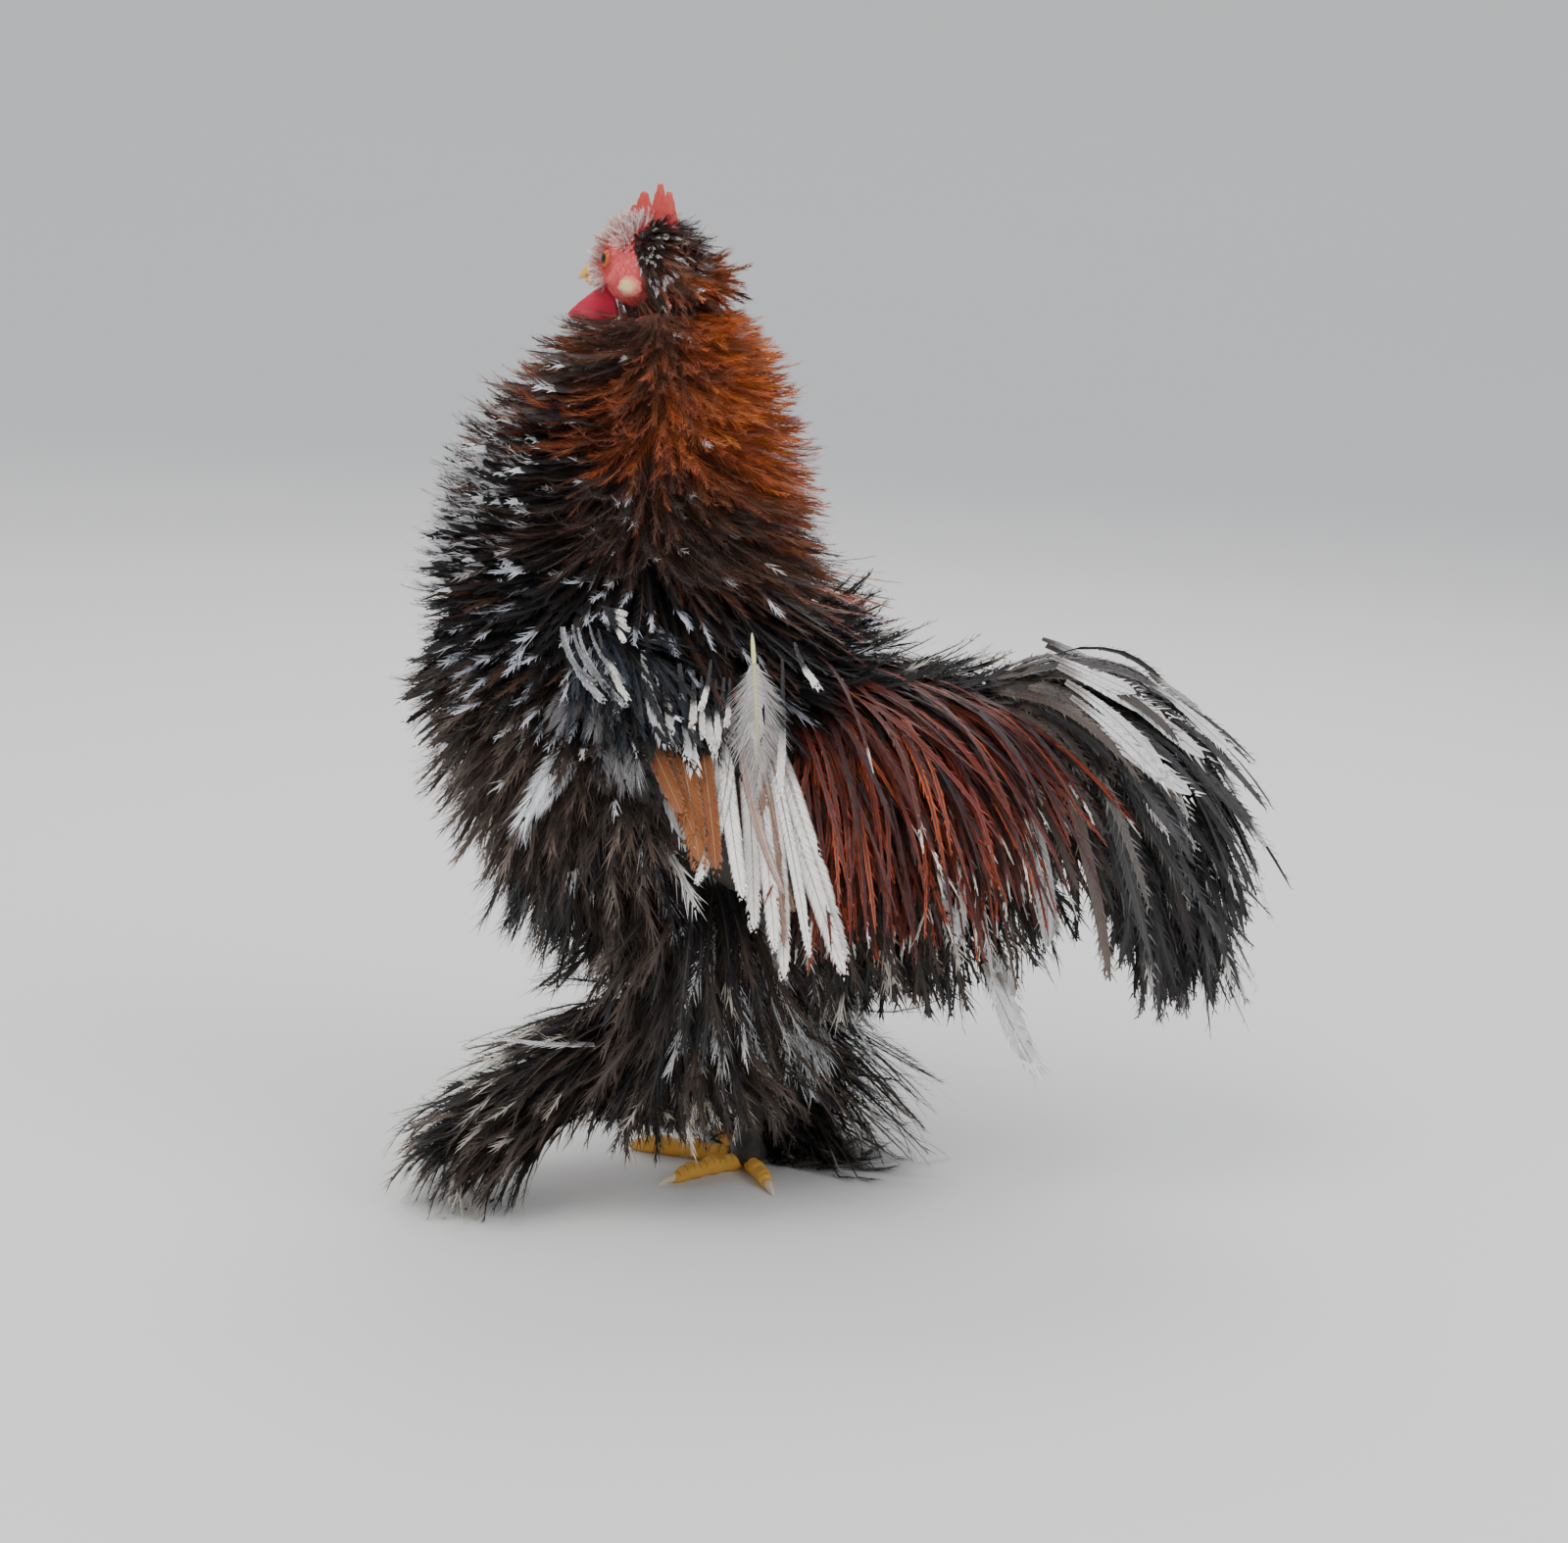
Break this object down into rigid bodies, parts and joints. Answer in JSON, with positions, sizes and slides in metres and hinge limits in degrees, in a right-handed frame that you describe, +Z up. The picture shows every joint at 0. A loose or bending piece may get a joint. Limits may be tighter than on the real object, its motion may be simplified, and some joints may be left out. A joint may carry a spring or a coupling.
{
  "type": "frizzle chicken",
  "caption": "Still model of a live frizzle bantam cock with outward-curled feathers and feathered feet, mid-step on one foot.",
  "frame": {"origin": "on the floor under the centre of the standing right foot", "axes": "+Z up, the body faces -X, its left side faces -Y, and the head is turned to its right (+Y)"},
  "size_m": [0.3589, 0.2103, 0.3842],
  "materials": {
    "face": "bare red skin with fine pale feathers",
    "comb": "soft, finely pitted",
    "wattle": "soft skin",
    "earlobe": "smooth pale skin",
    "bill": "polished horn",
    "eye": "wet and clear",
    "hackle": "glossy curled feathers, rust with dark shafts",
    "breast": "black curled feathers with white tips",
    "saddle": "mahogany feathers with black streaks and white flecks",
    "tail": "glossy black-brown curled feathers, some white",
    "wing": "black, orange-brown and white flight feathers",
    "fluff": "loose dark feathers with cream tips",
    "scales": "small horny scales",
    "claw": "polished horn"
  },
  "bodies": {
    "root": {"head": "face", "comb": "comb", "bill_upper": "bill", "bill_lower": "bill", "neck": "hackle", "torso": "breast", "rump": "saddle", "tail": "tail", "eye_left": "eye", "wattle_left": "wattle", "earlobe_left": "earlobe", "wing_left": "wing", "thigh_left": "fluff", "hock_left": "fluff", "shank_left": "fluff", "foot_left": "scales", "eye_right": "eye", "wattle_right": "wattle", "earlobe_right": "earlobe", "wing_right": "wing", "thigh_right": "fluff", "hock_right": "fluff", "shank_right": "fluff", "foot_right": "scales", "toe_left_1": "scales", "toe_left_2": "scales", "toe_left_3": "scales", "toe_left_4": "scales", "claw_left_1": "claw", "claw_left_2": "claw", "claw_left_3": "claw", "claw_left_4": "claw", "toe_right_1": "scales", "toe_right_2": "scales", "toe_right_3": "scales", "toe_right_4": "scales", "claw_right_1": "claw", "claw_right_2": "claw", "claw_right_3": "claw", "claw_right_4": "claw"}
  },
  "joints": []
}
